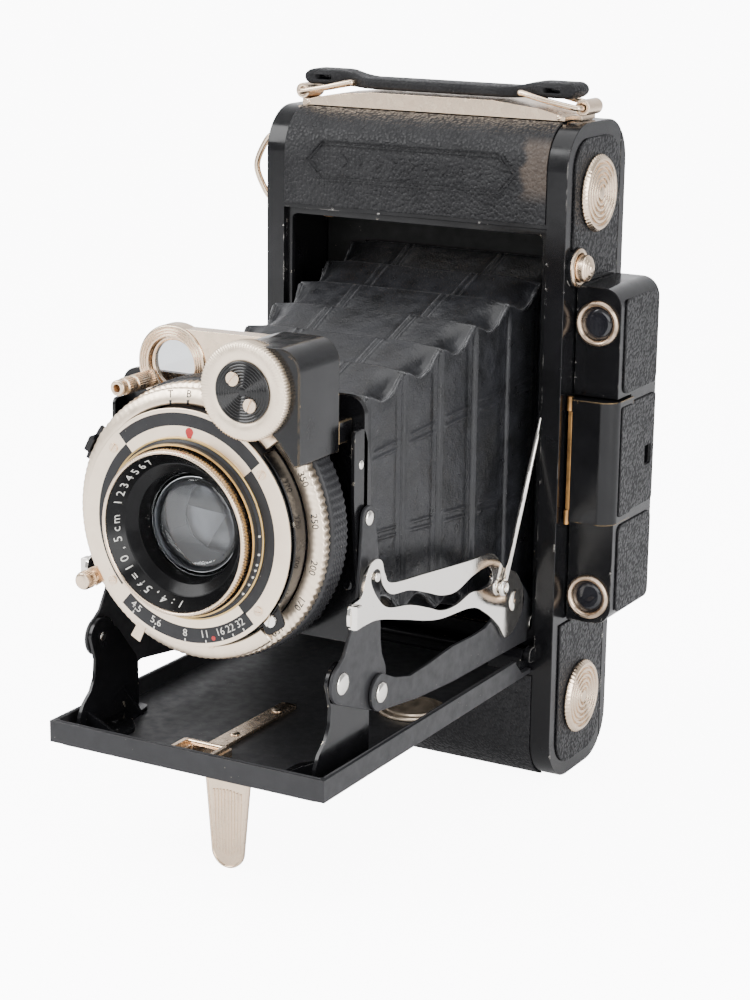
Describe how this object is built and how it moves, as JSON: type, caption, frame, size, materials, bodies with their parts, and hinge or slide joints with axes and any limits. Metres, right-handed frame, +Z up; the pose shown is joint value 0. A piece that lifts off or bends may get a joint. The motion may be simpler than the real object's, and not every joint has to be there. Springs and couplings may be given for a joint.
{
  "type": "folding camera",
  "caption": "Self-erecting folding roll-film camera with a drop bed, leather bellows, rim-set shutter and coupled rangefinder, standing on end.",
  "frame": {"origin": "middle of the flat bottom face of the body, which the camera stands on", "axes": "+Z up along the long side of the body, -Y the way the lens looks, +X the rangefinder side"},
  "size_m": [0.1086, 0.1399, 0.1719],
  "materials": {
    "black_enamel": "glossy black enamel worn at the edges",
    "leather": "pebble-grained black leather",
    "bellows_leather": "thin semi-gloss folded leather",
    "nickel": "satin nickel plate, warm",
    "chrome": "polished bright plate",
    "glass": "polished optical glass",
    "spool_wood": "turned wood core with black ends"
  },
  "bodies": {
    "body": {"body_shell": "black_enamel", "film_gate": "black_enamel", "front_leather_top": "leather", "side_leather_right_top": "leather", "side_leather_right_bottom": "leather", "side_leather_left": "leather", "top_plate": "nickel", "rangefinder_housing": "black_enamel", "rangefinder_window_top": "glass", "rangefinder_window_bottom": "glass", "bellows": "bellows_leather"},
    "bed": {"bed_plate": "black_enamel", "bed_leather": "leather", "tripod_bush": "nickel", "bed_catch": "nickel"},
    "foot": {"bed_foot": "nickel"},
    "standard": {"lens_standard": "black_enamel", "shutter_case": "black_enamel", "shutter_front_plate": "nickel", "rear_lens": "glass", "iris_blades": "black_enamel", "cable_release_socket": "nickel", "finder_turret": "black_enamel"},
    "focus_ring": {"focus_wheel": "black_enamel", "distance_scale_ring": "nickel"},
    "front_cell": {"lens_barrel": "nickel", "front_lens": "glass"},
    "speed_ring": {"speed_ring": "nickel"},
    "aperture_lever": {"aperture_lever": "nickel"},
    "cocking_lever": {"cocking_lever": "nickel"},
    "release_lever": {"release_lever": "black_enamel"},
    "finder_wheel": {"finder_wheel": "nickel"},
    "finder_arm": {"finder_arm": "nickel"},
    "wedge_prism": {"wedge_prism": "glass"},
    "supply_spool": {"supply_spool": "spool_wood"},
    "film_roller_top": {"film_roller_top": "nickel"},
    "film_roller_bottom": {"film_roller_bottom": "nickel"},
    "spool_knob_top": {"spool_knob_top": "nickel"},
    "spool_knob_bottom": {"spool_knob_bottom": "nickel"},
    "winding_key": {"winding_key_spindle": "nickel", "takeup_spool": "spool_wood"},
    "winding_key_wire": {"winding_key_wire": "nickel"},
    "release_button": {"release_button": "nickel"},
    "back": {"back_cover": "black_enamel", "back_leather": "leather"},
    "pressure_plate": {"pressure_plate": "nickel"},
    "red_window_slide": {"red_window_slide": "black_enamel"},
    "back_latch": {"back_latch": "nickel"},
    "finder_cover": {"finder_cover": "black_enamel"},
    "handle_strap": {"handle_strap": "leather"},
    "handle_loop_right": {"handle_loop_right": "nickel"},
    "handle_loop_left": {"handle_loop_left": "nickel"},
    "leg_right": {"leg_right": "black_enamel"},
    "strut_right": {"strut_right": "black_enamel"},
    "lock_lever_right": {"lock_lever_right": "chrome"},
    "spring_rod_right": {"spring_rod_right": "chrome"},
    "leg_left": {"leg_left": "black_enamel"},
    "strut_left": {"strut_left": "black_enamel"},
    "lock_lever_left": {"lock_lever_left": "chrome"},
    "spring_rod_left": {"spring_rod_left": "chrome"}
  },
  "joints": [
    {"name": "bed_fold", "type": "hinge", "parent": "body", "child": "bed", "pos_m": [0, -0.0183, 0.034], "axis": [1, 0, 0], "range_deg": [-90, 0], "deforming": ["bellows"]},
    {"name": "foot_fold", "type": "hinge", "parent": "bed", "child": "foot", "pos_m": [0, -0.0989, 0.0242], "axis": [1, 0, 0], "range_deg": [0, 90]},
    {"name": "leg_right_fold", "type": "hinge", "parent": "bed", "child": "leg_right", "pos_m": [0.031, -0.1037, 0.05135], "axis": [1, 0, 0], "range_deg": [-59, 0]},
    {"name": "strut_right_fold", "type": "hinge", "parent": "body", "child": "strut_right", "pos_m": [0.0325, -0.012, 0.0404], "axis": [1, 0, 0], "range_deg": [-82.61, 0]},
    {"name": "lock_lever_right_turn", "type": "hinge", "parent": "strut_right", "child": "lock_lever_right", "pos_m": [0.034, -0.0246, 0.0497], "axis": [1, 0, 0], "range_deg": [0, 3.8]},
    {"name": "spring_rod_right_swing", "type": "hinge", "parent": "body", "child": "spring_rod_right", "pos_m": [0.0353, -0.0056, 0.112], "axis": [1, 0, 0], "range_deg": [0, 31.1]},
    {"name": "leg_left_fold", "type": "hinge", "parent": "bed", "child": "leg_left", "pos_m": [-0.031, -0.1037, 0.05135], "axis": [1, 0, 0], "range_deg": [-59, 0]},
    {"name": "strut_left_fold", "type": "hinge", "parent": "body", "child": "strut_left", "pos_m": [-0.0325, -0.012, 0.0404], "axis": [1, 0, 0], "range_deg": [-82.61, 0]},
    {"name": "lock_lever_left_turn", "type": "hinge", "parent": "strut_left", "child": "lock_lever_left", "pos_m": [-0.034, -0.0246, 0.0497], "axis": [1, 0, 0], "range_deg": [0, 3.8]},
    {"name": "spring_rod_left_swing", "type": "hinge", "parent": "body", "child": "spring_rod_left", "pos_m": [-0.0353, -0.0056, 0.112], "axis": [1, 0, 0], "range_deg": [0, 31.1]},
    {"name": "standard_fold", "type": "hinge", "parent": "leg_right", "child": "standard", "pos_m": [0.0295, -0.0929, 0.0857], "axis": [1, 0, 0], "range_deg": [0, 149]},
    {"name": "focus", "type": "hinge", "parent": "standard", "child": "focus_ring", "pos_m": [0, -0.103, 0.0838], "axis": [0, 1, 0], "range_deg": [0, 110]},
    {"name": "front_cell_focus", "type": "slide", "parent": "standard", "child": "front_cell", "axis": [0, -1, 0], "range_m": [0, 0.0012]},
    {"name": "finder_wheel_turn", "type": "hinge", "parent": "standard", "child": "finder_wheel", "pos_m": [0.0159, -0.1165, 0.1158], "axis": [0, 1, 0], "range_deg": [-330, 0]},
    {"name": "finder_arm_swing", "type": "hinge", "parent": "standard", "child": "finder_arm", "pos_m": [0.0159, -0.096, 0.1158], "axis": [0, 1, 0], "range_deg": [0, 180]},
    {"name": "wedge_prism_turn", "type": "hinge", "parent": "finder_arm", "child": "wedge_prism", "pos_m": [-0.0147, -0.096, 0.1149], "axis": [0, 1, 0], "range_deg": [0, 110]},
    {"name": "speed_ring_turn", "type": "hinge", "parent": "standard", "child": "speed_ring", "pos_m": [0, -0.111, 0.0838], "axis": [0, 1, 0], "range_deg": [0, 150]},
    {"name": "aperture_lever_turn", "type": "hinge", "parent": "standard", "child": "aperture_lever", "pos_m": [0, -0.114, 0.0838], "axis": [0, -1, 0], "range_deg": [0, 60]},
    {"name": "cocking_lever_turn", "type": "hinge", "parent": "standard", "child": "cocking_lever", "pos_m": [0, -0.113, 0.0838], "axis": [0, 1, 0], "range_deg": [0, 35], "stiffness_Nm_per_rad": 0.02},
    {"name": "release_lever_press", "type": "hinge", "parent": "standard", "child": "release_lever", "pos_m": [0, -0.11, 0.0838], "axis": [0, -1, 0], "range_deg": [0, 12], "stiffness_Nm_per_rad": 0.02},
    {"name": "spool_knob_top_pull", "type": "slide", "parent": "body", "child": "spool_knob_top", "axis": [1, 0, 0], "range_m": [0, 0.005]},
    {"name": "spool_knob_bottom_pull", "type": "slide", "parent": "body", "child": "spool_knob_bottom", "axis": [1, 0, 0], "range_m": [0, 0.005]},
    {"name": "winding_key_turn", "type": "hinge", "parent": "body", "child": "winding_key", "pos_m": [-0.042, -0.0008, 0.1461], "axis": [1, 0, 0], "continuous": true},
    {"name": "winding_key_wire_fold", "type": "hinge", "parent": "winding_key", "child": "winding_key_wire", "pos_m": [-0.0454, -0.0008, 0.1461], "axis": [0, 0, 1], "range_deg": [0, 85]},
    {"name": "supply_spool_turn", "type": "hinge", "parent": "body", "child": "supply_spool", "pos_m": [0, -0.0008, 0.0195], "axis": [1, 0, 0], "continuous": true},
    {"name": "film_roller_top_turn", "type": "hinge", "parent": "body", "child": "film_roller_top", "pos_m": [0, 0.0112, 0.1382], "axis": [1, 0, 0], "continuous": true},
    {"name": "film_roller_bottom_turn", "type": "hinge", "parent": "body", "child": "film_roller_bottom", "pos_m": [0, 0.0112, 0.0296], "axis": [1, 0, 0], "continuous": true},
    {"name": "release_button_press", "type": "slide", "parent": "body", "child": "release_button", "axis": [-1, 0, 0], "range_m": [0, 0.0015], "stiffness_N_per_m": 300},
    {"name": "back_hinge", "type": "hinge", "parent": "body", "child": "back", "pos_m": [0, 0.01375, 0.0032], "axis": [-1, 0, 0], "range_deg": [0, 88]},
    {"name": "pressure_plate_float", "type": "slide", "parent": "back", "child": "pressure_plate", "axis": [0, 1, 0], "range_m": [0, 0.0004], "stiffness_N_per_m": 500},
    {"name": "red_window_slide_move", "type": "slide", "parent": "back", "child": "red_window_slide", "axis": [1, 0, 0], "range_m": [0, 0.012]},
    {"name": "back_latch_slide", "type": "slide", "parent": "back", "child": "back_latch", "axis": [0, 0, -1], "range_m": [0, 0.003]},
    {"name": "finder_cover_swing", "type": "hinge", "parent": "body", "child": "finder_cover", "pos_m": [0.0419, -0.0135, 0.083], "axis": [0, 0, -1], "range_deg": [0, 90]},
    {"name": "handle_lift", "type": "slide", "parent": "body", "child": "handle_strap", "axis": [0, 0, 1], "range_m": [0, 0.004]},
    {"name": "handle_loop_right_tilt", "type": "hinge", "parent": "body", "child": "handle_loop_right", "pos_m": [0.0385, 0, 0.1662], "axis": [0, 1, 0], "range_deg": [0, 15.35]},
    {"name": "handle_loop_left_tilt", "type": "hinge", "parent": "body", "child": "handle_loop_left", "pos_m": [-0.0385, 0, 0.1662], "axis": [0, -1, 0], "range_deg": [0, 15.35]}
  ],
  "couplings": [
    {"joint": "leg_right_fold", "follows": "bed_fold", "ratio": 0.65555},
    {"joint": "strut_right_fold", "follows": "bed_fold", "ratio": 0.91775},
    {"joint": "lock_lever_right_turn", "follows": "bed_fold", "ratio": -0.042222},
    {"joint": "spring_rod_right_swing", "follows": "bed_fold", "ratio": -0.34555},
    {"joint": "leg_left_fold", "follows": "bed_fold", "ratio": 0.65555},
    {"joint": "strut_left_fold", "follows": "bed_fold", "ratio": 0.91775},
    {"joint": "lock_lever_left_turn", "follows": "bed_fold", "ratio": -0.042222},
    {"joint": "spring_rod_left_swing", "follows": "bed_fold", "ratio": -0.34555},
    {"joint": "standard_fold", "follows": "bed_fold", "ratio": -1.6555},
    {"joint": "front_cell_focus", "follows": "focus", "m_per_rad": 0.000624},
    {"joint": "finder_wheel_turn", "follows": "focus", "ratio": -2.999},
    {"joint": "wedge_prism_turn", "follows": "focus", "ratio": 1},
    {"joint": "handle_loop_right_tilt", "follows": "handle_lift", "rad_per_m": 66.921},
    {"joint": "handle_loop_left_tilt", "follows": "handle_lift", "rad_per_m": 66.921}
  ]
}
